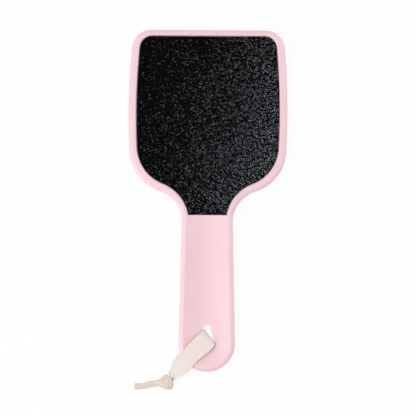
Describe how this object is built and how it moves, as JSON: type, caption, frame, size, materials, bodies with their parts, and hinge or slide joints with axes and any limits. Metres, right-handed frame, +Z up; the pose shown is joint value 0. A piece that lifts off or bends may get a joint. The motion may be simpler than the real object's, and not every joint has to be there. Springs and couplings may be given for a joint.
{
  "type": "foot file",
  "caption": "Flat paddle foot file with a dished abrasive sheet inside a raised rim on each face of its head, a dished handle and a knotted ribbon loop through its hanging hole.",
  "frame": {"origin": "centre of the plan of the paddle without the ribbon, on the table under the rear rim", "axes": "+Y along the paddle from handle to head, +X across it, +Z up through the coarse face"},
  "size_m": [0.0978, 0.2217, 0.0095],
  "materials": {
    "pink_plastic": "satin moulded",
    "adhesive": "tacky film",
    "backing_paper": "matt",
    "coarse_grit": "coarse grit",
    "fine_grit": "fine grit",
    "ribbon": "woven cotton tape"
  },
  "bodies": {
    "paddle": {"paddle_body": "pink_plastic", "coarse_adhesive_film": "adhesive", "coarse_backing_sheet": "backing_paper", "coarse_grit_coat": "coarse_grit", "fine_adhesive_film": "adhesive", "fine_backing_sheet": "backing_paper", "fine_grit_coat": "fine_grit"},
    "ribbon": {"ribbon_fold": "ribbon", "ribbon_front_leg": "ribbon", "ribbon_back_leg": "ribbon", "ribbon_knot": "ribbon", "ribbon_tail_upper": "ribbon", "ribbon_tail_lower": "ribbon"}
  },
  "joints": [
    {"name": "ribbon_swing", "type": "hinge", "parent": "paddle", "child": "ribbon", "pos_m": [0.00075, -0.0821, 0.0045], "axis": [0, 0, 1], "range_deg": [-49, 40], "deforming": ["ribbon_fold"]}
  ]
}
